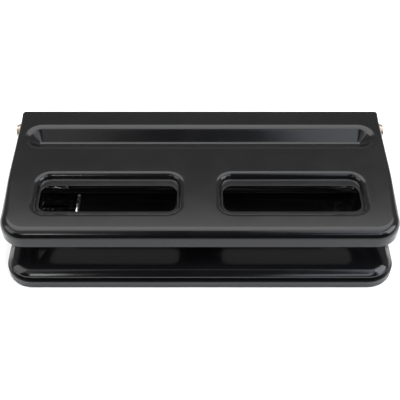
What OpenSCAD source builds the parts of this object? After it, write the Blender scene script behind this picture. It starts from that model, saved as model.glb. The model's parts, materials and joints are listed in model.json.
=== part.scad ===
// Three-hole paper punch with a full-width pressed-steel lever, a pressed base and a chip tray.
// Millimetres, +Z up, front towards -Y, origin on the table under the middle of the tray.

/* [Lever] */
// Width of the lever across its two sides
lever_w = 280; // [276:1:284]
// Depth of the lever from its back edge to its front lip
lever_d = 126.5; // [124:0.5:128]
// Height of the lever's top above the table when it is up
lever_top = 45; // [45:0.5:47]
// Thickness of the lever's steel sheet
lever_t = 1.3; // [1.1:0.1:1.5]
// Radius of the rolled front edge
front_r = 6.5; // [5.5:0.5:7]
// Radius of the bend along each side
side_r = 2.5; // [2:0.5:2.5]
// Height of the front edge, from the top down to the lip
lip_h = 14; // [12:1:15]
// Radius of the two front corners seen from above
lever_corner_r = 18; // [14:1:22]

/* [Groove and windows] */
// Length of the stiffening groove between the centres of its round ends
groove_len = 243; // [200:1:243]
// Depth of the groove
groove_depth = 8.1; // [7:0.1:8.4]
// Width of each window opening
window_w = 98.4; // [90:0.2:98.4]
// Depth of each window opening from back to front
window_d = 25; // [20:1:28]
// Radius of the opening's corners
window_corner_r = 7; // [5:0.1:7.2]
// Width of the pressed rim round each window
rim_w = 5.2; // [5:0.1:5.4]
// Depth of the ledge round each opening below the lever's top
ledge_depth = 4.3; // [4:0.1:4.6]

/* [Base and tray] */
// Width of the chip tray
tray_w = 277.4; // [276:0.2:280]
// Depth of the chip tray
tray_d = 142; // [142:1:146]
// Height of the tray's ledge above the table
ledge_z = 6.4; // [6:0.1:6.6]
// Radius of the tray's corners
tray_corner_r = 20; // [18:0.5:22]
// Distance from the tray's side to the base plate's side
base_inset = 1.5; // [1.3:0.1:2]
// Height of the base plate's top above the table
base_top = 14; // [13.5:0.5:14]
// Thickness of the base plate's steel sheet
base_t = 1.3; // [1.1:0.1:1.5]
// Width of the sloping edge of the base plate
base_slope_w = 3.8; // [3:0.1:4.2]

/* [Punching] */
// Distance between neighbouring holes in the paper
hole_pitch = 108; // [80:1:108]
// Diameter of each punch pin
pin_dia = 7.1; // [6:0.1:7.5]
// Radial clearance of each pin in its guide and its die
pin_clearance = 0.05; // [0.02:0.01:0.1]
// Distance from the paper's edge to the middle of its holes
edge_distance = 11; // [9:0.5:12]
// Height of the slot that the paper goes into
throat_h = 2.3; // [2:0.1:2.5]
// Width of each punch head
head_w = 17; // [15:1:20]
// Distance of the pins in front of the lever's axle
pin_arm = 40; // [38:1:40]
// Diameter of the axle
axle_dia = 6; // [5:0.5:6]

/* [Paper guide] */
// Distance of the paper guide from the middle, to the left
guide_x = 91.6; // [88:0.2:92]
// Length that the paper guide slides outwards
guide_travel = 26; // [15:1:26]
// Height of the guide's tab above the base plate
guide_h = 4.5; // [4:0.1:5]

/* [Hidden] */
$fn = 64;
cut = 1;
arc_steps = 8;

lever_back = 67.5;
lever_front = lever_back - lever_d;
axle_from_back = 13.5;
axle_y = lever_back - axle_from_back;
axle_z = 36;
axle_r = axle_dia / 2;
axle_clearance = 0.05;
axle_overhang = 2.5;
cheek_r = 9.5;
cap_r = 5.5;
cap_gap = 0.3;
cap_t = 4.3;
cap_skirt_h = 1.4;
cap_step = 0.6;
cap_dome_r = 9;
back_flange_h = 8;
back_r = 1.5;

groove_from_back = 30;
groove_y = lever_back - groove_from_back;
groove_rim_r = 8.5;
groove_floor_r = 3.5;
groove_slope = 40;
groove_floor_half = 0.4;
recess_x = 65.7;
recess_from_back = 88.3;
recess_y = lever_back - recess_from_back;
recess_w = 99.2;
recess_d = 33;
recess_corner_r = 7.3;
window_shift_y = -1.2;
rim_r = 4;
rim_hollow_r = 1;
rim_slope = 65;

base_w = tray_w - 2 * base_inset;
base_d = tray_d - 2 * base_inset;
base_corner_r = tray_corner_r - base_inset;
base_under = base_top - base_t;
lip_gap = 2.7;
base_lip_h = base_top - ledge_z - lip_gap;
base_edge_reach = 5.2;
base_slope_h = 3.2;
base_slope_len = sqrt(base_slope_w ^ 2 + base_slope_h ^ 2);
base_slope_in_x = round(1000 * base_t * (base_slope_len - base_slope_w) / base_slope_h) / 1000;
base_slope_in_z = round(1000 * base_t * (base_slope_len - base_slope_h) / base_slope_w) / 1000;

tray_floor_z = 0.4;
tray_floor_t = 1.8;
tray_wall = 2;
ledge_w = 7.6;
ledge_t = 1.6;
locating_rib_t = 1.6;
locating_rib_gap = 0.3;
locating_rib_z = base_under - locating_rib_gap;
foot_r = 7;
foot_h = 1;
foot_x = 118;
foot_y = 50;

throat_t = 1.2;
throat_z = base_top + throat_h;
throat_overhang = 14;
throat_w = 2 * (hole_pitch + throat_overhang);
throat_foot_d = 11;

pin_r = pin_dia / 2;
guide_bore_r = pin_r + pin_clearance;
pin_y = axle_y - pin_arm;
pin_rest_gap = 0.3;
pin_bottom = throat_z + pin_rest_gap;
pin_top = 40;
pin_dome_r = 6;
pin_grind = 1;
stop_y = pin_y + edge_distance;

head_front = 5;
head_t = 2.2;
head_top = 23;
head_web_y = stop_y + throat_t;
head_foot_d = throat_foot_d - 1;

rivet_r = 1.6;
rivet_head_r = 3;
rivet_head_h = 1;
rivet_dome_r = 7.5;
rivet_spread = 5;
rivet_from_stop = 7.5;
rivet_y = stop_y + rivet_from_stop;

die_r = 6.5;
die_flange_r = 8;
die_depth = 4;
die_land = 2;
die_relief = 0.7;

clip_z = 35.6;
clip_t = 1.2;
clip_r = 5.8;
clip_groove_r = 2.8;
clip_mouth = 3.8;

spring_wire_r = 0.55;
spring_r = 4.7;
spring_turns = 5.5;
spring_sides = 8;
spring_steps = 14;
spring_gap = 0.05;

bar_r = 5;
bar_gap = 0.3;
bar_bottom = pin_top + bar_gap;
bar_overhang = 10;
bar_w = 2 * (hole_pitch + bar_overhang);

bracket_t = 2;
bracket_gap = 8.7;
bracket_x = lever_w / 2 - lever_t - bracket_gap;
bracket_foot_w = 16;
bracket_half_d = 7.5;
bracket_base_h = 8;
bracket_top_r = 6.5;
bracket_rivet_inset = 10;
bracket_rivet_x = bracket_x - bracket_rivet_inset;
bracket_rivet_dy = 4.2;

guide_slot_y = -5.7;
guide_slot_half = 1.5;
guide_tab_t = 1.6;
guide_tab_front = -16;
guide_tab_back = 4;
guide_lift = 0.3;
guide_foot_w = 8;
guide_foot_d = 9;
guide_foot_h = 1;
guide_neck_r = 1.2;
shoe_t = 1.4;

// Part of a ring between two angles, both within one half turn.
module ring_sector(outer, inner, from_angle, to_angle) {
    reach = 2 * outer;
    intersection() {
        difference() {
            circle(outer);
            circle(inner);
        }
        polygon([
            [0, 0],
            [reach * cos(from_angle), reach * sin(from_angle)],
            [reach * cos((from_angle + to_angle) / 2), reach * sin((from_angle + to_angle) / 2)],
            [reach * cos(to_angle), reach * sin(to_angle)]
        ]);
    }
}

// Sheet that runs flat from -reach, rolls over a radius and ends in a lip whose face is at zero.
module rolled_profile(reach, r, h, t) {
    if (reach > r) translate([-reach, -t]) square([reach - r, t]);
    translate([-r, -r]) ring_sector(r, r - t, 0, 90);
    translate([-t, -h]) square([t, h - r]);
}

// Quarter turn of the rolled edge, with the flat sheet filled in to the corner's centre.
module rolled_corner(corner_r, r, h, t) {
    rotate_extrude(angle = 90) {
        translate([0, -t]) square([corner_r - r, t]);
        translate([corner_r, 0]) rolled_profile(r, r, h, t);
    }
}

// Straight length of a profile that faces +Y, centred on X.
module straight_run(length) {
    translate([-length / 2, 0, 0]) rotate([90, 0, 90]) linear_extrude(length) children();
}

// The child at each corner of a rectangle, moved to the corner's centre and turned to face outwards.
module at_corners(w, d, corner_r) {
    for (corner = [[1, 1, 0], [-1, 1, 90], [-1, -1, 180], [1, -1, 270]])
        translate([corner[0] * (w / 2 - corner_r), corner[1] * (d / 2 - corner_r), 0])
            rotate(corner[2]) children();
}

// The child, a profile with its face at zero, run along each side of a rectangle between its corners.
module along_sides(w, d, corner_r) {
    for (turn = [0:90:270]) {
        along_x = turn % 180 == 0;
        rotate(turn) translate([0, (along_x ? d : w) / 2, 0])
            straight_run((along_x ? w : d) - 2 * corner_r) children();
    }
}

// Rectangle with round corners, centred on X and Y, standing from z = 0.
module rounded_block(w, d, corner_r, h) {
    translate([-w / 2, corner_r - d / 2, 0]) cube([w, d - 2 * corner_r, h]);
    translate([corner_r - w / 2, -d / 2, 0]) cube([w - 2 * corner_r, d, h]);
    for (x = [-1, 1], y = [-1, 1])
        translate([x * (w / 2 - corner_r), y * (d / 2 - corner_r), 0]) cylinder(r = corner_r, h = h);
}

// Cutter for a round hole through a plate whose underside is at height z.
module drill(r, z, t) {
    translate([0, 0, z - cut]) cylinder(r = r, h = t + 2 * cut);
}

// The child over one punched hole: -1 is the left one, 0 the centre one and 1 the right one.
module at_hole(i) {
    translate([i * hole_pitch, pin_y, 0]) children();
}

// Points on an arc, from one angle to another.
function arc(centre, r, from_angle, to_angle) = [
    for (i = [0:arc_steps])
        let (angle = from_angle + (to_angle - from_angle) * i / arc_steps)
            [centre[0] + r * cos(angle), centre[1] + r * sin(angle)]
];

// Sheet round a window in section, from its ledge outwards: hollow, slope and shoulder.
rim_hollow_centre = [0, rim_hollow_r - ledge_depth];
rim_centre = [rim_w, -rim_r];
rim_section = concat(
    arc(rim_hollow_centre, rim_hollow_r, -90, rim_slope - 90),
    arc(rim_centre, rim_r, 90 + rim_slope, 90),
    arc(rim_centre, rim_r - lever_t, 90, 90 + rim_slope),
    arc(rim_hollow_centre, rim_hollow_r + lever_t, rim_slope - 90, -90)
);

// Pressed recess with an opening in its floor; its ledge is wider at the back than at the front.
module window_recess() {
    at_corners(recess_w, recess_d, recess_corner_r) rotate_extrude(angle = 90)
        translate([recess_corner_r, 0]) polygon(rim_section);
    along_sides(recess_w, recess_d, recess_corner_r) polygon(rim_section);
    difference() {
        translate([0, 0, -ledge_depth - lever_t]) rounded_block(recess_w, recess_d, recess_corner_r, lever_t);
        translate([0, window_shift_y, -ledge_depth - lever_t - cut])
            rounded_block(window_w, window_d, window_corner_r, lever_t + 2 * cut);
    }
}

// Half of the groove's sheet in section, from its middle outwards: floor, hollow, slope and rim.
groove_arc_drop = (groove_rim_r + groove_floor_r) * (1 - cos(groove_slope));
groove_slope_run = (groove_depth - groove_arc_drop) / tan(groove_slope);
groove_half_w = groove_floor_half + groove_slope_run + (groove_floor_r + groove_rim_r) * sin(groove_slope);
groove_hollow_centre = [groove_floor_half, groove_floor_r - groove_depth];
groove_rim_centre = [groove_half_w, -groove_rim_r];
groove_half = concat(
    [[0, -groove_depth]],
    arc(groove_hollow_centre, groove_floor_r, -90, groove_slope - 90),
    arc(groove_rim_centre, groove_rim_r, 90 + groove_slope, 90),
    arc(groove_rim_centre, groove_rim_r - lever_t, 90, 90 + groove_slope),
    arc(groove_hollow_centre, groove_floor_r + lever_t, groove_slope - 90, -90),
    [[0, -groove_depth - lever_t]]
);
module groove() {
    for (side = [0, 180]) rotate(side) {
        straight_run(groove_len) polygon(groove_half);
        translate([groove_len / 2, 0, 0]) rotate(-90) rotate_extrude(angle = 180) polygon(groove_half);
    }
}

// Side wall round the axle, one sheet thick, reaching from X = 0 towards -X.
module cheek() {
    rotate([90, 0, -90]) linear_extrude(lever_t) translate([-axle_y, axle_z]) {
        ring_sector(cheek_r, axle_r, 180, 360);
        translate([-cheek_r, 0]) square([2 * cheek_r, lever_top - side_r - axle_z]);
    }
}

module lever_sheet() {
    side_len = lever_d - lever_corner_r - back_r;
    inner_w = lever_w - 2 * lever_corner_r;
    translate([0, lever_front, lever_top]) rotate(180) straight_run(inner_w)
        rolled_profile(lever_corner_r, front_r, lip_h, lever_t);
    for (side = [-1, 1]) {
        translate([side * inner_w / 2, lever_front + lever_corner_r, lever_top])
            rotate(side > 0 ? 270 : 180) rolled_corner(lever_corner_r, front_r, lip_h, lever_t);
        translate([side * lever_w / 2, lever_front + lever_corner_r + side_len / 2, lever_top])
            rotate(side * -90) straight_run(side_len)
                rolled_profile(lever_corner_r, side_r, lip_h, lever_t);
    }
    translate([0, lever_back, lever_top]) straight_run(lever_w - 2 * side_r)
        rolled_profile(back_r, back_r, back_flange_h, lever_t);
    translate([-inner_w / 2, lever_front + lever_corner_r, lever_top - lever_t])
        cube([inner_w, side_len, lever_t]);
    for (side = [0, 1]) mirror([side, 0, 0]) translate([lever_t - lever_w / 2, 0, 0]) cheek();
}

module lever() {
    color([0.07, 0.07, 0.075]) {
        difference() {
            lever_sheet();
            translate([0, groove_y, 0]) {
                translate([-groove_len / 2, -groove_half_w, lever_top - lever_t - cut])
                    cube([groove_len, 2 * groove_half_w, lever_t + 2 * cut]);
                for (side = [-1, 1])
                    translate([side * groove_len / 2, 0, 0])
                        drill(groove_half_w, lever_top - lever_t, lever_t);
            }
            for (side = [-1, 1])
                translate([side * recess_x, recess_y, lever_top - lever_t - cut])
                    rounded_block(recess_w + 2 * rim_w, recess_d + 2 * rim_w,
                                  recess_corner_r + rim_w, lever_t + 2 * cut);
            translate([-lever_w / 2 - cut, axle_y, axle_z]) rotate([0, 90, 0])
                cylinder(r = axle_r + axle_clearance, h = lever_w + 2 * cut);
        }
        translate([0, groove_y, lever_top]) groove();
        for (side = [-1, 1])
            translate([side * recess_x, recess_y, lever_top]) window_recess();
    }
}

// Half-round strip welded under the lever, which presses the three pins.
module pressure_bar() {
    color("dimgray") translate([0, pin_y, 0]) intersection() {
        translate([-bar_w / 2, 0, bar_bottom + bar_r]) rotate([0, 90, 0]) cylinder(r = bar_r, h = bar_w);
        translate([-bar_w / 2, -bar_r, bar_bottom - cut])
            cube([bar_w, 2 * bar_r, lever_top - lever_t - bar_bottom + cut]);
    }
}

// Edge of the base plate in section: flat sheet, a slope, and a short lip whose face is at zero.
module base_edge_profile() {
    polygon([
        [-base_edge_reach, 0],
        [-base_slope_w, 0],
        [0, -base_slope_h],
        [0, -base_lip_h],
        [-base_t, -base_lip_h],
        [-base_t, -base_slope_h - base_slope_in_z],
        [-base_slope_w - base_slope_in_x, -base_t],
        [-base_edge_reach, -base_t]
    ]);
}

module base_sheet() {
    at_corners(base_w, base_d, base_corner_r) rotate_extrude(angle = 90)
        translate([base_corner_r, 0]) base_edge_profile();
    along_sides(base_w, base_d, base_corner_r) base_edge_profile();
    translate([0, 0, -base_t])
        rounded_block(base_w - 2 * base_edge_reach, base_d - 2 * base_edge_reach,
                      base_corner_r - base_edge_reach, base_t);
}

module base_plate() {
    color([0.07, 0.07, 0.075]) difference() {
        translate([0, 0, base_top]) base_sheet();
        for (i = [-1, 0, 1])
            at_hole(i) drill(die_r, base_under, base_t);
        head_rivet_places() drill(rivet_r, base_under, base_t);
        bracket_rivet_places() drill(rivet_r, base_under, base_t);
        translate([-guide_x - guide_travel, guide_slot_y, 0]) {
            translate([0, -guide_slot_half, base_under - cut])
                cube([guide_travel, 2 * guide_slot_half, base_t + 2 * cut]);
            for (x = [0, guide_travel])
                translate([x, 0, 0]) drill(guide_slot_half, base_under, base_t);
        }
    }
}

module tray_profile() {
    translate([-tray_wall, tray_floor_z]) square([tray_wall, ledge_z - tray_floor_z]);
    translate([-ledge_w, ledge_z - ledge_t]) square([ledge_w - tray_wall, ledge_t]);
    translate([-ledge_w, ledge_z]) square([locating_rib_t, locating_rib_z - ledge_z]);
}

module tray_floor_profile() {
    translate([0, tray_floor_z]) square([tray_corner_r - tray_wall, tray_floor_t]);
}

module chip_tray() {
    color([0.09, 0.09, 0.09]) difference() {
        union() {
            at_corners(tray_w, tray_d, tray_corner_r) rotate_extrude(angle = 90) {
                tray_floor_profile();
                translate([tray_corner_r, 0]) tray_profile();
            }
            along_sides(tray_w, tray_d, tray_corner_r) {
                translate([-tray_corner_r, 0]) tray_floor_profile();
                tray_profile();
            }
            translate([tray_corner_r - tray_w / 2, tray_corner_r - tray_d / 2, tray_floor_z])
                cube([tray_w - 2 * tray_corner_r, tray_d - 2 * tray_corner_r, tray_floor_t]);
        }
        foot_places() cylinder(r = foot_r, h = foot_h);
    }
}

module foot_places() {
    for (x = [-1, 1], y = [-1, 1]) translate([x * foot_x, y * foot_y, 0]) children();
}

module rubber_feet() {
    color([0.16, 0.16, 0.16]) foot_places() cylinder(r = foot_r, h = foot_h);
}

// Upright ear that holds one end of the axle, with a foot riveted to the base plate.
module hinge_bracket(side) {
    mirror([side > 0 ? 0 : 1, 0, 0]) color([0.10, 0.10, 0.10]) difference() {
        union() {
            translate([bracket_x - bracket_t, 0, 0]) rotate([90, 0, 90]) linear_extrude(bracket_t) {
                translate([axle_y, axle_z]) circle(bracket_top_r);
                translate([axle_y - bracket_top_r, base_top + bracket_t])
                    square([2 * bracket_top_r, axle_z - base_top - bracket_t]);
                translate([axle_y - bracket_half_d, base_top]) square([2 * bracket_half_d, bracket_base_h]);
            }
            translate([bracket_x - bracket_t - bracket_foot_w, axle_y - bracket_half_d, base_top])
                cube([bracket_foot_w, 2 * bracket_half_d, bracket_t]);
        }
        translate([bracket_x - bracket_t - cut, axle_y, axle_z]) rotate([0, 90, 0])
            cylinder(r = axle_r, h = bracket_t + 2 * cut);
        bracket_rivet_places() drill(rivet_r, base_top, bracket_t);
    }
}

module bracket_rivet_places() {
    for (x = [-1, 1], y = [-1, 1])
        translate([x * bracket_rivet_x, axle_y + y * bracket_rivet_dy, 0]) children();
}

module head_rivet_places() {
    for (i = [-1, 0, 1], x = [-1, 1])
        translate([i * hole_pitch + x * rivet_spread, rivet_y, 0]) children();
}

// Button-headed rivet from the underside of the base plate up to the given height.
module rivet(top) {
    translate([0, 0, base_under]) cylinder(r = rivet_r, h = top - base_under);
    translate([0, 0, base_under - rivet_head_h]) cylinder(r = rivet_head_r, h = rivet_head_h);
    translate([0, 0, top]) rotate_extrude() intersection() {
        translate([0, rivet_head_h - rivet_dome_r]) circle(rivet_dome_r);
        square([rivet_head_r, rivet_head_h]);
    }
}

module bracket_rivets() {
    color("silver") bracket_rivet_places() rivet(base_top + bracket_t);
}

module head_rivets() {
    color("silver") head_rivet_places() rivet(base_top + throat_t + head_t);
}

module axle() {
    length = lever_w + 2 * axle_overhang;
    color("silver") translate([-length / 2, axle_y, axle_z]) rotate([0, 90, 0])
        cylinder(r = axle_r, h = length);
}

// Domed push-on cap over one end of the axle.
module axle_cap(side) {
    grip = axle_overhang - cap_gap;
    color([0.83, 0.81, 0.77]) translate([side * (lever_w / 2 + cap_gap), axle_y, axle_z])
        rotate([0, side * 90, 0]) difference() {
            rotate_extrude() {
                square([cap_r, cap_skirt_h]);
                intersection() {
                    translate([0, cap_t - cap_dome_r]) circle(cap_dome_r);
                    translate([0, cap_skirt_h]) square([cap_r - cap_step, cap_t - cap_skirt_h]);
                }
            }
            translate([0, 0, -cut]) cylinder(r = axle_r, h = cut + grip);
        }
}

// Long shelf over the paper slot; its riser is the stop for the paper's edge.
module throat_plate() {
    color([0.08, 0.08, 0.08]) difference() {
        straight_run(throat_w) {
            translate([head_front, throat_z]) square([stop_y + throat_t - head_front, throat_t]);
            translate([stop_y, base_top]) square([throat_t, throat_h]);
            translate([stop_y + throat_t, base_top]) square([throat_foot_d, throat_t]);
        }
        for (i = [-1, 0, 1])
            at_hole(i) drill(guide_bore_r, throat_z, throat_t);
        head_rivet_places() drill(rivet_r, base_top, throat_t);
    }
}

// Bent steel bracket that guides one pin over the shelf.
module punch_head(i) {
    foot_z = base_top + throat_t;
    color([0.75, 0.76, 0.77]) difference() {
        translate([i * hole_pitch, 0, 0]) straight_run(head_w) {
            translate([head_front, head_top - head_t]) square([head_web_y + head_t - head_front, head_t]);
            translate([head_web_y, foot_z]) square([head_t, head_top - head_t - foot_z]);
            translate([head_web_y, foot_z]) square([head_foot_d, head_t]);
        }
        at_hole(i) drill(guide_bore_r, head_top - head_t, head_t);
        head_rivet_places() drill(rivet_r, foot_z, head_t);
    }
}

module die(i) {
    color("darkgray") at_hole(i) difference() {
        union() {
            translate([0, 0, base_under]) cylinder(r = die_r, h = base_t);
            translate([0, 0, base_top - die_depth]) cylinder(r = die_flange_r, h = die_depth - base_t);
        }
        translate([0, 0, base_top - die_land]) cylinder(r = guide_bore_r, h = die_land + cut);
        translate([0, 0, base_top - die_depth - cut])
            cylinder(r = pin_r + die_relief, h = die_depth - die_land + cut);
    }
}

// Solid pin with a domed top, a groove for its clip and a hollow-ground cutting end.
module punch_pin(i) {
    color("lightgray") at_hole(i) difference() {
        rotate_extrude() intersection() {
            union() {
                translate([0, pin_bottom]) square([pin_r, clip_z - pin_bottom]);
                translate([0, clip_z]) square([clip_groove_r, clip_t]);
                translate([0, clip_z + clip_t]) square([pin_r, pin_top - clip_z - clip_t]);
            }
            union() {
                translate([0, pin_bottom]) square([pin_r, clip_z + clip_t - pin_bottom]);
                translate([0, pin_top - pin_dome_r]) circle(pin_dome_r);
            }
        }
        translate([-pin_r - cut, 0, pin_bottom - pin_r]) rotate([0, 90, 0])
            cylinder(r = pin_r + pin_grind, h = 2 * (pin_r + cut));
    }
}

// Open ring snapped into the pin's groove, which the spring pushes up.
module spring_clip(i) {
    color("silver") at_hole(i) difference() {
        translate([0, 0, clip_z]) cylinder(r = clip_r, h = clip_t);
        drill(clip_groove_r, clip_z, clip_t);
        translate([-clip_mouth / 2, 0, clip_z - cut]) cube([clip_mouth, clip_r + cut, clip_t + 2 * cut]);
    }
}

spring_low = head_top + spring_wire_r + spring_gap;
spring_high = clip_z - spring_wire_r - spring_gap;
spring_rings = round(spring_turns * spring_steps);
function spring_point(ring, side) =
    let (
        turn = 360 * ring / spring_steps,
        around = 360 * side / spring_sides,
        out = spring_r + spring_wire_r * cos(around)
    )
    [out * cos(turn), out * sin(turn),
     spring_low + (spring_high - spring_low) * ring / spring_rings + spring_wire_r * sin(around)];

// Compression spring swept as one closed tube along its helix.
module spring(i) {
    points = [for (ring = [0:spring_rings], side = [0:spring_sides - 1]) spring_point(ring, side)];
    skin = [
        for (ring = [0:spring_rings - 1], side = [0:spring_sides - 1])
            let (a = ring * spring_sides, next = (side + 1) % spring_sides)
                [a + side, a + spring_sides + side, a + spring_sides + next, a + next]
    ];
    start = [for (side = [0:spring_sides - 1]) side];
    end = [for (side = [spring_sides - 1:-1:0]) spring_rings * spring_sides + side];
    color("silver") at_hole(i)
        polyhedron(points = points, faces = concat(skin, [start, end]), convexity = 10);
}

// Sliding stop for narrow sheets: a thin upright tab on a foot, with a neck through the slot.
module paper_guide() {
    foot_z = base_top + guide_lift;
    color([0.92, 0.92, 0.92]) translate([-guide_x, 0, 0]) {
        translate([-guide_tab_t / 2, 0, 0]) rotate([90, 0, 90]) linear_extrude(guide_tab_t) {
            translate([guide_tab_front, foot_z])
                square([guide_tab_back - guide_h - guide_tab_front, guide_h]);
            translate([guide_tab_back - guide_h, foot_z]) intersection() {
                circle(guide_h);
                square(guide_h);
            }
        }
        translate([guide_tab_t / 2 - guide_foot_w, guide_slot_y - guide_foot_d / 2, foot_z])
            cube([guide_foot_w - guide_tab_t / 2, guide_foot_d, guide_foot_h]);
        translate([0, guide_slot_y, base_under - guide_lift])
            cylinder(r = guide_neck_r, h = foot_z - base_under + 2 * guide_lift);
    }
}

module guide_shoe() {
    color([0.16, 0.16, 0.16]) translate([-guide_x, guide_slot_y, base_under - guide_lift - shoe_t])
        translate([-guide_foot_w / 2, -guide_foot_d / 2, 0]) cube([guide_foot_w, guide_foot_d, shoe_t]);
}

chip_tray();
rubber_feet();
base_plate();
hinge_bracket(-1);  // left_hinge_bracket
hinge_bracket(1);  // right_hinge_bracket
bracket_rivets();
axle();
axle_cap(-1);  // left_axle_cap
axle_cap(1);  // right_axle_cap
throat_plate();
punch_head(-1);  // left_punch_head
punch_head(0);  // centre_punch_head
punch_head(1);  // right_punch_head
head_rivets();
die(-1);  // left_die
die(0);  // centre_die
die(1);  // right_die
spring(-1);  // left_spring
spring(0);  // centre_spring
spring(1);  // right_spring
punch_pin(-1);  // left_punch_pin
punch_pin(0);  // centre_punch_pin
punch_pin(1);  // right_punch_pin
spring_clip(-1);  // left_spring_clip
spring_clip(0);  // centre_spring_clip
spring_clip(1);  // right_spring_clip
lever();
pressure_bar();
paper_guide();
guide_shoe();
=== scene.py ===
"""Looks of a three-hole paper punch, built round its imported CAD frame. Everything is in metres."""

import json
import math

import bmesh
import bpy
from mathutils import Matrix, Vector


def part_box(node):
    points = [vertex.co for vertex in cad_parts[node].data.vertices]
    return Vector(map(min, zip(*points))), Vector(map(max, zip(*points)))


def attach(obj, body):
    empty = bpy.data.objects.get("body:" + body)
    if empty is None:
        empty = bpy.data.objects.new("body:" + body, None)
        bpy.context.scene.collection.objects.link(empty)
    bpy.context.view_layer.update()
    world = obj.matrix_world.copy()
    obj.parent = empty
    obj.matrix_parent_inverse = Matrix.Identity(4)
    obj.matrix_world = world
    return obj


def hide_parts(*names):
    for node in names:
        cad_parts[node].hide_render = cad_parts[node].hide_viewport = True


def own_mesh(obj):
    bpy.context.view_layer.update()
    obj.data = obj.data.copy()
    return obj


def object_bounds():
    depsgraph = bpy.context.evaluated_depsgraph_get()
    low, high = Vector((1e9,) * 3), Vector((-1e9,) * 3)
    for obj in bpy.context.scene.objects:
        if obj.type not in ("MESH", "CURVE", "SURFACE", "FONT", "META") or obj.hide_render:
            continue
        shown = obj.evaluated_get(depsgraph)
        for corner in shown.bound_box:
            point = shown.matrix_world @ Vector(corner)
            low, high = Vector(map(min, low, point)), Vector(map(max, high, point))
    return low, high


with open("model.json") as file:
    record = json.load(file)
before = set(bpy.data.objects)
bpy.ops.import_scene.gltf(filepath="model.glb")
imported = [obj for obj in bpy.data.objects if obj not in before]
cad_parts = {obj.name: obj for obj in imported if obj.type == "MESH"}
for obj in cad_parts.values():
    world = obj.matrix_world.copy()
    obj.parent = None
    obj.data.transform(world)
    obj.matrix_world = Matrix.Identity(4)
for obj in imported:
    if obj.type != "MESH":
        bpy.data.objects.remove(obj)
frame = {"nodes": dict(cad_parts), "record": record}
cad_low, cad_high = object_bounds()

MM = 0.001

# Sizes of the pressed lever that its box doesn't give
SHEET = 1.3 * MM
FRONT_R = 6.5 * MM
SIDE_R = 2.5 * MM
BACK_R = 1.5 * MM
LIP_H = 14 * MM
BACK_FLANGE_H = 8 * MM
FRONT_CORNER_R = 18 * MM
BACK_CORNER_R = 2.6 * MM
SIDE_ROLL_TAPER = 12 * MM
SIDE_ROLL_BACK_Y = 5 * MM
CHEEK_R = 9.5 * MM

GROOVE_HALF_LEN = 121.5 * MM
GROOVE_DEPTH = 8.1 * MM
GROOVE_FROM_BACK = 30 * MM
GROOVE_RIM_R = 8.5 * MM
GROOVE_FLOOR_R = 3.5 * MM
GROOVE_FLOOR_HALF = 0.4 * MM
GROOVE_SLOPE = math.radians(40)

RECESS_X = 65.7 * MM
RECESS_FROM_BACK = 88.3 * MM
RECESS_W = 99.2 * MM
RECESS_D = 33 * MM
RECESS_CORNER_R = 7.3 * MM
RECESS_DEPTH = 4.3 * MM
RIM_W = 5.2 * MM
RIM_R = 4 * MM
RIM_HOLLOW_R = 1 * MM
RIM_SLOPE = math.radians(65)
WINDOW_W = 98.4 * MM
WINDOW_D = 25 * MM
WINDOW_CORNER_R = 7 * MM
WINDOW_SHIFT_Y = -1.2 * MM

# Strip of the flat kept next to each bend, so that the bend's shading stays out of the flat
FLAT_MARGIN = 0.5 * MM

# Rough spacing of points along straight edges, and how many a rounded corner gets
OUTLINE_STEP = 1.5 * MM
WINDOW_STEP = 40 * MM
ARC_STEPS_PER_MM = 1.2
MIN_ARC_STEPS = 6

# How far the outline's normal points back where the side wall starts and ends getting lower
LOWERING_START = 0.1
LOWERING_END = 0.9

# Where the front of the base plate looks slightly dished, from its start to its end, and by how much
DISH_START_Y = -45 * MM
DISH_END_Y = -61.5 * MM
DISH_RISE = 2.6 * MM

# The paper guide is bare metal above this height and plain black below it
GUIDE_BLACK_TOP = 15.6 * MM

# The floor is a square: its front edge, and half its side
FLOOR_FRONT_Y = -165 * MM
FLOOR_HALF = 2000 * MM

# The camera, counted from the top of the lever's back edge
CAMERA_FORWARD = 452.5 * MM
CAMERA_UP = 397 * MM
CAMERA_PITCH = math.radians(48)
CAMERA_SENSOR_MM = 36
CAMERA_LENS_MM = 68


# ---------------------------------------------------------------- materials

def new_material(name):
    """A node material, its tree and its Principled shader, ready for more nodes."""
    material = bpy.data.materials.new(name)
    material.use_nodes = True
    tree = material.node_tree
    return material, tree, tree.nodes["Principled BSDF"]


def object_coordinates(tree, scale=(1, 1, 1)):
    """Coordinates in the piece's own metres, stretched by scale."""
    coordinates = tree.nodes.new("ShaderNodeTexCoord")
    mapping = tree.nodes.new("ShaderNodeMapping")
    mapping.inputs["Scale"].default_value = scale
    tree.links.new(coordinates.outputs["Object"], mapping.inputs["Vector"])
    return mapping.outputs["Vector"]


def noise(tree, vector, scale, detail=3.0, roughness=0.5):
    """Noise of about one cycle in 1/scale metres."""
    node = tree.nodes.new("ShaderNodeTexNoise")
    node.inputs["Scale"].default_value = scale
    node.inputs["Detail"].default_value = detail
    node.inputs["Roughness"].default_value = roughness
    tree.links.new(vector, node.inputs["Vector"])
    return node.outputs["Fac"]


def ramp(tree, value, low, high, start=0.0, end=1.0):
    """Maps a value between two ends to a number or a colour."""
    node = tree.nodes.new("ShaderNodeValToRGB")
    for element, place, colour in zip(node.color_ramp.elements, (start, end), (low, high)):
        element.position = place
        element.color = (*colour, 1) if isinstance(colour, tuple) else (colour, colour, colour, 1)
    tree.links.new(value, node.inputs["Fac"])
    return node.outputs["Color"]


def bump(tree, height, shader, distance, strength=1.0, under=None):
    """Adds a bump to the shader's normal, over an earlier one if there is one."""
    node = tree.nodes.new("ShaderNodeBump")
    node.inputs["Strength"].default_value = strength
    node.inputs["Distance"].default_value = distance
    tree.links.new(height, node.inputs["Height"])
    if under:
        tree.links.new(under, node.inputs["Normal"])
    tree.links.new(node.outputs["Normal"], shader.inputs["Normal"])
    return node.outputs["Normal"]


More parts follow.
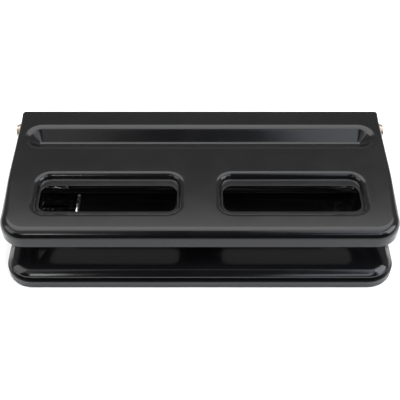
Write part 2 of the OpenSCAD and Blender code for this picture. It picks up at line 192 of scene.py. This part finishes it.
def height_of(tree, axis, start, end):
    """Rises from zero to one while the piece's own coordinate along an axis goes from start to end."""
    coordinates = tree.nodes.new("ShaderNodeTexCoord")
    parts = tree.nodes.new("ShaderNodeSeparateXYZ")
    tree.links.new(coordinates.outputs["Object"], parts.inputs["Vector"])
    node = tree.nodes.new("ShaderNodeMapRange")
    node.inputs["From Min"].default_value = start
    node.inputs["From Max"].default_value = end
    tree.links.new(parts.outputs[axis], node.inputs["Value"])
    return node.outputs["Result"]


def enamel(name, roughness_low, roughness_high, colour=(0.0032, 0.0032, 0.0036), dish=None):
    """Baked black enamel: faint mottling, soft gloss changes and a fine orange-peel skin.

    A dish is (start, end, rise): where along Y the shading starts and ends to tilt as if the sheet curved
    up, and by how much; the sheet itself stays flat.
    """
    material, tree, shader = new_material(name)
    place = object_coordinates(tree)
    broad = noise(tree, place, 14, 3)
    speckle = noise(tree, place, 900, 2)
    mix = tree.nodes.new("ShaderNodeMix")
    mix.data_type = "RGBA"
    mix.inputs["Factor"].default_value = 0.5
    lifted = tuple(c * 1.35 for c in colour)
    tree.links.new(ramp(tree, broad, colour, lifted, 0.3, 0.7), mix.inputs["A"])
    tree.links.new(ramp(tree, speckle, colour, lifted, 0.35, 0.75), mix.inputs["B"])
    tree.links.new(mix.outputs["Result"], shader.inputs["Base Color"])
    tree.links.new(ramp(tree, noise(tree, place, 35, 4), roughness_low, roughness_high, 0.3, 0.7),
                   shader.inputs["Roughness"])
    peel = bump(tree, noise(tree, place, 420, 2, 0.4), shader, 0.004 * MM, 0.6)
    skin = bump(tree, speckle, shader, 0.0015 * MM, 0.5, peel)
    if dish:
        start, end, rise = dish
        bump(tree, height_of(tree, "Y", start, end), shader, rise, 1.0, skin)
    shader.inputs["IOR"].default_value = 1.4
    return material


def plastic(name, colour, roughness_low, roughness_high, grain=1400):
    """Moulded plastic with a fine spark-eroded grain."""
    material, tree, shader = new_material(name)
    place = object_coordinates(tree)
    texture = noise(tree, place, grain, 3, 0.6)
    tree.links.new(ramp(tree, noise(tree, place, 30, 4), colour, tuple(c * 1.3 for c in colour), 0.3, 0.7),
                   shader.inputs["Base Color"])
    tree.links.new(ramp(tree, texture, roughness_low, roughness_high, 0.3, 0.7), shader.inputs["Roughness"])
    bump(tree, texture, shader, 0.012 * MM, 0.5)
    shader.inputs["IOR"].default_value = 1.46
    return material


def metal(name, colour, roughness_low, roughness_high, brush=(40, 40, 900), black_below=None):
    """Plated or ground metal with fine lines along one direction and cloudy patches.

    Below the height given as its last argument, if one is given, it is plain black, not metal.
    """
    material, tree, shader = new_material(name)
    lines = noise(tree, object_coordinates(tree, brush), 8, 3)
    clouds = noise(tree, object_coordinates(tree), 160, 4)
    darker = tuple(c * 0.82 for c in colour)
    plated = ramp(tree, clouds, darker, colour, 0.3, 0.65)
    tree.links.new(ramp(tree, lines, roughness_low, roughness_high, 0.3, 0.7), shader.inputs["Roughness"])
    if black_below is None:
        tree.links.new(plated, shader.inputs["Base Color"])
        shader.inputs["Metallic"].default_value = 1.0
    else:
        # Plain black below the given height, in place of the metal
        bare = height_of(tree, "Z", black_below, black_below + 0.2 * MM)
        mix = tree.nodes.new("ShaderNodeMix")
        mix.data_type = "RGBA"
        mix.inputs["A"].default_value = (0.004, 0.004, 0.004, 1)
        tree.links.new(bare, mix.inputs["Factor"])
        tree.links.new(plated, mix.inputs["B"])
        tree.links.new(mix.outputs["Result"], shader.inputs["Base Color"])
        tree.links.new(bare, shader.inputs["Metallic"])
    bump(tree, lines, shader, 0.006 * MM, 0.4)
    return material


def rubber(name):
    """Dull dark rubber with a powdery bloom."""
    material, tree, shader = new_material(name)
    place = object_coordinates(tree)
    bloom = ramp(tree, noise(tree, place, 220, 5), (0.018, 0.018, 0.018), (0.04, 0.04, 0.04), 0.35, 0.7)
    tree.links.new(bloom, shader.inputs["Base Color"])
    tree.links.new(ramp(tree, noise(tree, place, 90, 3), 0.7, 0.9, 0.3, 0.7), shader.inputs["Roughness"])
    bump(tree, noise(tree, place, 2500, 2), shader, 0.02 * MM, 0.5)
    return material


MATERIALS = {
    "enamel": enamel("black_enamel", 0.15, 0.21),
    "black_steel": enamel("black_steel", 0.34, 0.44, (0.0030, 0.0030, 0.0034)),
    "tray_plastic": plastic("tray_plastic", (0.004, 0.004, 0.0044), 0.28, 0.4),
    "rubber": rubber("rubber"),
    "zinc": metal("zinc_plate", (0.72, 0.71, 0.69), 0.16, 0.30),
    "nickel": metal("nickel_cap", (0.36, 0.31, 0.25), 0.3, 0.4, (90, 90, 90)),
    "tool_steel": metal("tool_steel", (0.60, 0.60, 0.61), 0.16, 0.26, (30, 30, 1500)),
    "spring_steel": metal("spring_steel", (0.50, 0.50, 0.51), 0.2, 0.32, (500, 500, 40)),
}

DISHED_ENAMEL = enamel("base_enamel", 0.12, 0.18, dish=(DISH_START_Y, DISH_END_Y, DISH_RISE))
GUIDE_STEEL = metal("guide_steel", (0.85, 0.84, 0.82), 0.2, 0.35, black_below=GUIDE_BLACK_TOP)
HEAD_STEEL = metal("head_steel", (0.95, 0.92, 0.88), 0.1, 0.18)


def dress(obj, material):
    """Gives a piece a material in place of its own."""
    obj.data.materials.clear()
    obj.data.materials.append(material)
    return obj


# ---------------------------------------------------------------- mesh tools

def rounded_outline(width, depth, radii, centre, step):
    """Points and outward normals round a rectangle, counter-clockwise from its right side's front end.

    radii are those of the back right, back left, front left and front right corners.
    """
    places = []
    signs = ((1, 1), (-1, 1), (-1, -1), (1, -1))
    for index, (sx, sy) in enumerate(signs):
        radius = radii[index]
        before = radii[index - 1]
        start = math.pi / 2 * index
        normal = Vector((math.cos(start), math.sin(start)))
        along = Vector((-normal.y, normal.x))
        length = (depth if index % 2 == 0 else width) - radius - before
        reach = (width if index % 2 == 0 else depth) / 2
        first = normal * reach - along * ((depth if index % 2 == 0 else width) / 2 - before)
        count = max(1, round(length / step))
        for i in range(count):
            places.append((centre + first + along * (length * i / count), normal.copy()))
        hub = centre + Vector((sx * (width / 2 - radius), sy * (depth / 2 - radius)))
        arc_steps = max(MIN_ARC_STEPS, round(radius / MM * ARC_STEPS_PER_MM))
        for i in range(arc_steps):
            angle = start + math.pi / 2 * i / arc_steps
            out = Vector((math.cos(angle), math.sin(angle)))
            places.append((hub + out * radius, out))
    return places


def rolled_rows(radius, height, steps=10):
    """Inset and height of each row of a rolled edge, from the flat down to the cut edge."""
    rows = [(radius + FLAT_MARGIN, 0.0)]
    for i in range(steps + 1):
        angle = math.pi / 2 * i / steps
        rows.append((radius * (1 - math.sin(angle)), -radius * (1 - math.cos(angle))))
    rows.append((0.0, -(radius + height) / 2))
    rows.append((0.0, -height))
    return rows


def loft(mesh, rings):
    """Joins closed rings of points, one to the next, and returns the vertices of each ring."""
    made = [[mesh.verts.new(point) for point in ring] for ring in rings]
    for upper, lower in zip(made, made[1:]):
        for i in range(len(upper)):
            j = (i + 1) % len(upper)
            mesh.faces.new((upper[i], lower[i], lower[j], upper[j]))
    return made


def loop_edges(mesh, ring):
    """The edges of a closed ring, made where they don't exist."""
    edges = []
    for i, vertex in enumerate(ring):
        other = ring[(i + 1) % len(ring)]
        edges.append(mesh.edges.get((vertex, other)) or mesh.edges.new((vertex, other)))
    return edges


def fill_flat(mesh, rings):
    """Fills the flat region between an outer ring and the rings inside it."""
    edges = [edge for ring in rings for edge in loop_edges(mesh, ring)]
    bmesh.ops.triangle_fill(mesh, edges=edges, use_beauty=True, use_dissolve=False)


def face_up(mesh, height):
    """Makes all faces agree, with the flat at that height facing up."""
    bmesh.ops.recalc_face_normals(mesh, faces=mesh.faces)
    flat = [f for f in mesh.faces if abs(f.calc_center_median().z - height) < 1e-7]
    if sum(f.normal.z * f.calc_area() for f in flat) < 0:
        bmesh.ops.reverse_faces(mesh, faces=mesh.faces)


def finish_mesh(mesh, name):
    """Turns a bmesh into an object in the scene."""
    data = bpy.data.meshes.new(name)
    mesh.to_mesh(data)
    mesh.free()
    obj = bpy.data.objects.new(name, data)
    bpy.context.scene.collection.objects.link(obj)
    return obj


def apply_modifiers(obj, sharp_angle=40):
    """Replaces the mesh with what its modifiers make, smooth except at its sharp edges.

    A weighted-normals modifier is left on it, so that large flats are shaded flat.
    """
    graph = bpy.context.evaluated_depsgraph_get()
    data = bpy.data.meshes.new_from_object(obj.evaluated_get(graph))
    obj.modifiers.clear()
    obj.data = data
    data.shade_smooth()
    data.set_sharp_from_angle(angle=math.radians(sharp_angle))
    flats_first = obj.modifiers.new("normals", "WEIGHTED_NORMAL")
    flats_first.keep_sharp = True
    return obj


def thicken(obj, thickness, round_width=0.2 * MM):
    """Gives a sheet its thickness below its face, and breaks its cut edges."""
    solid = obj.modifiers.new("thickness", "SOLIDIFY")
    solid.thickness = thickness
    solid.offset = -1
    solid.use_even_offset = True
    edge = obj.modifiers.new("edge", "BEVEL")
    edge.width = round_width
    edge.segments = 2
    edge.limit_method = "ANGLE"
    edge.angle_limit = math.radians(50)
    return apply_modifiers(obj)


def soften_cad(node, width, segments=2, angle=35):
    """Small rounded edges on a CAD node, as modifiers only."""
    obj = frame["nodes"][node]
    weld = obj.modifiers.new("weld", "WELD")
    weld.merge_threshold = 0.002 * MM
    edge = obj.modifiers.new("edge", "BEVEL")
    edge.width = width
    edge.segments = segments
    edge.limit_method = "ANGLE"
    edge.angle_limit = math.radians(angle)
    edge.harden_normals = True


# ---------------------------------------------------------------- lever

def smooth_step(value, low, high):
    """Rises smoothly from zero at low to one at high."""
    t = min(1.0, max(0.0, (value - low) / (high - low)))
    return t * t * (3 - 2 * t)


def lever_edge(point, normal, low, high):
    """Roll radius and wall height of the lever at one place on its outline."""
    corner_start = low.y + FRONT_CORNER_R
    front_share = 1 - smooth_step(point.y, corner_start, SIDE_ROLL_BACK_Y)
    taper = smooth_step(point.y, high.y - SIDE_ROLL_TAPER, high.y - BACK_CORNER_R)
    radius = SIDE_R + (FRONT_R - SIDE_R) * front_share + (BACK_R - SIDE_R) * taper
    back_share = max(0.0, normal.y)
    height = LIP_H + (BACK_FLANGE_H - LIP_H) * smooth_step(back_share, LOWERING_START, LOWERING_END)
    axle_low, axle_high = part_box("axle")
    axle = (axle_low + axle_high) / 2
    across = point.y - axle.y
    if back_share < LOWERING_START and abs(across) < CHEEK_R:
        cheek = high.z - axle.z + math.sqrt(CHEEK_R ** 2 - across ** 2)
        height = max(height, cheek)
    return radius, height


def pressed_rows(width, depth, rim_r, hollow_r, slope):
    """Reach and height of each row of a pressed slope, from the flat round it down to its floor.

    The reach is counted outwards from where the floor begins.
    """
    rows = [(width + FLAT_MARGIN, 0.0)]
    steps = 9
    for i in range(steps + 1):
        angle = slope * i / steps
        rows.append((width - rim_r * math.sin(angle), -rim_r * (1 - math.cos(angle))))
    for i in range(steps + 1):
        angle = slope * (1 - i / steps)
        rows.append((hollow_r * math.sin(angle), hollow_r * (1 - math.cos(angle)) - depth))
    return rows


def groove_rows():
    """Distance from the groove's middle line and height of each row, from its rim to its floor."""
    drop = (GROOVE_RIM_R + GROOVE_FLOOR_R) * (1 - math.cos(GROOVE_SLOPE))
    run = (GROOVE_DEPTH - drop) / math.tan(GROOVE_SLOPE)
    width = run + (GROOVE_FLOOR_R + GROOVE_RIM_R) * math.sin(GROOVE_SLOPE)
    rows = pressed_rows(width, GROOVE_DEPTH, GROOVE_RIM_R, GROOVE_FLOOR_R, GROOVE_SLOPE)
    return [(reach + GROOVE_FLOOR_HALF, z) for reach, z in rows]


def stadium(half_length, reach, centre, height, arc_steps=24):
    """Points of a slot-shaped ring round a line along X."""
    points = []
    for side in (1, -1):
        for i in range(arc_steps + 1):
            angle = math.pi * (i / arc_steps - side / 2)
            points.append(Vector((centre.x + side * half_length + reach * math.cos(angle),
                                  centre.y + reach * math.sin(angle), height)))
    return points


def outer_edge(mesh, low, high):
    """The lever's rolled edge and walls; returns its inner ring, which lies in the flat."""
    centre = Vector(((low.x + high.x) / 2, (low.y + high.y) / 2))
    corners = (BACK_CORNER_R, BACK_CORNER_R, FRONT_CORNER_R, FRONT_CORNER_R)
    outline = rounded_outline(high.x - low.x, high.y - low.y, corners, centre, OUTLINE_STEP)
    columns = []
    for point, normal in outline:
        radius, height = lever_edge(point, normal, low, high)
        rows = rolled_rows(radius, height)
        columns.append([Vector((*(point - normal * inset), high.z + z)) for inset, z in rows])
    return loft(mesh, list(zip(*columns)))[0]


def window_recess(mesh, middle, top):
    """One recess with the window in its floor; returns its outer ring, which lies in the flat."""
    recess = rounded_outline(RECESS_W, RECESS_D, (RECESS_CORNER_R,) * 4, middle, WINDOW_STEP)
    rings = [[Vector((*(point + normal * reach), top + z)) for point, normal in recess]
             for reach, z in pressed_rows(RIM_W, RECESS_DEPTH, RIM_R, RIM_HOLLOW_R, RIM_SLOPE)]
    rim = loft(mesh, rings)
    shifted = middle + Vector((0, WINDOW_SHIFT_Y))
    window = rounded_outline(WINDOW_W, WINDOW_D, (WINDOW_CORNER_R,) * 4, shifted, WINDOW_STEP)
    ledge = [mesh.verts.new((*point, top - RECESS_DEPTH)) for point, normal in window]
    fill_flat(mesh, [rim[-1], ledge])
    return rim[0]


def make_lever():
    """The pressed lever as one thickened sheet, in place of its CAD node."""
    low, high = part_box("lever")
    top = high.z
    mesh = bmesh.new()
    flat_rings = [outer_edge(mesh, low, high)]
    for side in (-1, 1):
        middle = Vector((side * RECESS_X, high.y - RECESS_FROM_BACK))
        flat_rings.append(window_recess(mesh, middle, top))
    middle = Vector((0, high.y - GROOVE_FROM_BACK))
    rings = [stadium(GROOVE_HALF_LEN, reach, middle, top + z) for reach, z in groove_rows()]
    groove = loft(mesh, rings)
    flat_rings.append(groove[0])
    fill_flat(mesh, flat_rings)
    fill_flat(mesh, [groove[-1]])
    face_up(mesh, top)
    obj = thicken(finish_mesh(mesh, "lever_skin"), SHEET)
    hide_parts("lever")
    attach(dress(obj, MATERIALS["enamel"]), "lever")


# ---------------------------------------------------------------- springs

def make_spring(side):
    """Round-wire coil that fills its CAD spring's box."""
    low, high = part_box(side + "_spring")
    wire = 0.55 * MM
    centre = (low + high) / 2
    radius = (high.x - low.x) / 2 - wire
    turns = 5.5
    around = 10
    per_turn = 36
    count = round(turns * per_turn)
    mesh = bmesh.new()
    rings = []
    for i in range(count + 1):
        t = i / count
        angle = math.tau * turns * t
        hub = Vector((math.cos(angle), math.sin(angle), 0))
        middle = centre + hub * radius
        middle.z = low.z + wire + (high.z - low.z - 2 * wire) * t
        rings.append([middle + hub * (wire * math.cos(math.tau * k / around))
                      + Vector((0, 0, wire * math.sin(math.tau * k / around))) for k in range(around)])
    made = loft(mesh, rings)
    mesh.faces.new(made[0])
    mesh.faces.new(made[-1])
    bmesh.ops.recalc_face_normals(mesh, faces=mesh.faces)
    obj = apply_modifiers(finish_mesh(mesh, side + "_coil"))
    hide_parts(side + "_spring")
    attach(dress(obj, MATERIALS["spring_steel"]), "frame")
    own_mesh(obj)


# ---------------------------------------------------------------- carried-over nodes

def dress_cad_nodes():
    """A procedural material on every CAD node that stays, from the record's own slots."""
    for row in frame["record"]["subparts"]:
        name = row["node"]
        material = MATERIALS[row["material_slot"]]
        if name == "base_plate":
            material = DISHED_ENAMEL
        elif name == "paper_guide":
            material = GUIDE_STEEL
        elif name.endswith("punch_head"):
            material = HEAD_STEEL
        dress(frame["nodes"][name], material).data.shade_smooth()
    soften_cad("base_plate", 0.3 * MM)
    soften_cad("throat_plate", 0.25 * MM)
    soften_cad("pressure_bar", 0.2 * MM)
    for side in ("left", "centre", "right"):
        soften_cad(side + "_punch_head", 0.3 * MM, 3)
    for side in ("left", "right"):
        soften_cad(side + "_hinge_bracket", 0.25 * MM)
    soften_cad("paper_guide", 0.2 * MM)


# ---------------------------------------------------------------- stage

def make_floor():
    """Pale paper that starts in front of the punch and runs back under it."""
    mesh = bmesh.new()
    bmesh.ops.create_grid(mesh, x_segments=1, y_segments=1, size=FLOOR_HALF)
    floor = finish_mesh(mesh, "floor")
    floor.location = (0, FLOOR_HALF + FLOOR_FRONT_Y, cad_low.z)
    material, tree, shader = new_material("floor_paper")
    place = object_coordinates(tree)
    tree.links.new(ramp(tree, noise(tree, place, 6, 3), (0.90, 0.90, 0.90), (0.94, 0.94, 0.94), 0.3, 0.7),
                   shader.inputs["Base Color"])
    shader.inputs["Roughness"].default_value = 0.9
    floor.data.materials.append(material)


def area_light(name, location, target, size_x, size_y, energy, colour=(1, 1, 1)):
    """Soft light of size_x by size_y metres at a place, aimed at a target, with its energy in watts."""
    data = bpy.data.lights.new(name, "AREA")
    data.shape = "RECTANGLE"
    data.size = size_x
    data.size_y = size_y
    data.energy = energy
    data.color = colour
    light = bpy.data.objects.new(name, data)
    light.location = location
    light.rotation_euler = (Vector(target) - Vector(location)).to_track_quat("-Z", "Y").to_euler()
    bpy.context.scene.collection.objects.link(light)


def make_world():
    """Surroundings that light the object from behind only; the camera itself sees them pale."""
    world = bpy.data.worlds.new("studio")
    bpy.context.scene.world = world
    world.use_nodes = True
    tree = world.node_tree
    background = tree.nodes["Background"]
    coordinates = tree.nodes.new("ShaderNodeTexCoord")
    parts = tree.nodes.new("ShaderNodeSeparateXYZ")
    tree.links.new(coordinates.outputs["Generated"], parts.inputs["Vector"])
    tree.links.new(ramp(tree, parts.outputs["Y"], 0.02, 0.42, 0.0, 0.35), background.inputs["Color"])
    background.inputs["Strength"].default_value = 1.0
    pale = tree.nodes.new("ShaderNodeBackground")
    pale.inputs["Color"].default_value = (0.95, 0.95, 0.95, 1)
    path = tree.nodes.new("ShaderNodeLightPath")
    choose = tree.nodes.new("ShaderNodeMixShader")
    tree.links.new(path.outputs["Is Camera Ray"], choose.inputs["Fac"])
    tree.links.new(background.outputs["Background"], choose.inputs[1])
    tree.links.new(pale.outputs["Background"], choose.inputs[2])
    tree.links.new(choose.outputs["Shader"], tree.nodes["World Output"].inputs["Surface"])


def make_camera():
    """Camera in front of the punch, looking down on it."""
    _, lever_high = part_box("lever")
    data = bpy.data.cameras.new("camera")
    data.sensor_width = CAMERA_SENSOR_MM
    data.lens = CAMERA_LENS_MM
    camera = bpy.data.objects.new("camera", data)
    camera.location = (0, lever_high.y - CAMERA_FORWARD, lever_high.z + CAMERA_UP)
    camera.rotation_euler = (math.pi / 2 - CAMERA_PITCH, 0, 0)
    bpy.context.scene.collection.objects.link(camera)
    bpy.context.scene.camera = camera


def make_lights():
    """Soft light from above, the front and both sides, cooler on the right, and two strips for the heads."""
    middle = (0, 0, 0)
    area_light("overhead", (0, 0.25, 1.1), middle, 1.8, 1.0, 22)
    area_light("front_right", (0.48, -0.54, 0.96), middle, 0.5, 0.7, 3.3, (0.86, 0.92, 1.0))
    area_light("front_left", (-0.48, -0.54, 0.96), middle, 0.5, 0.7, 1.1)
    area_light("left_side", (-1.25, -0.35, 0.75), middle, 1.0, 0.9, 9)
    area_light("right_side", (1.25, -0.35, 0.75), middle, 1.0, 0.9, 18, (0.9, 0.93, 1.0))
    area_light("left_strip", (-0.36, -1.0, 0.75), (-0.11, 0, 0), 0.16, 0.15, 1.0)
    area_light("right_strip", (0.52, -1.0, 0.75), (0.11, 0, 0), 0.46, 0.15, 1.1, (0.86, 0.9, 1.0))


def main():
    """Makes the camera, then the pieces, then the floor, the surroundings and the lights."""
    bpy.context.scene.view_settings.view_transform = "Standard"
    make_camera()
    make_lever()
    for side in ("left", "centre", "right"):
        make_spring(side)
    dress_cad_nodes()
    make_floor()
    make_world()
    make_lights()


main()
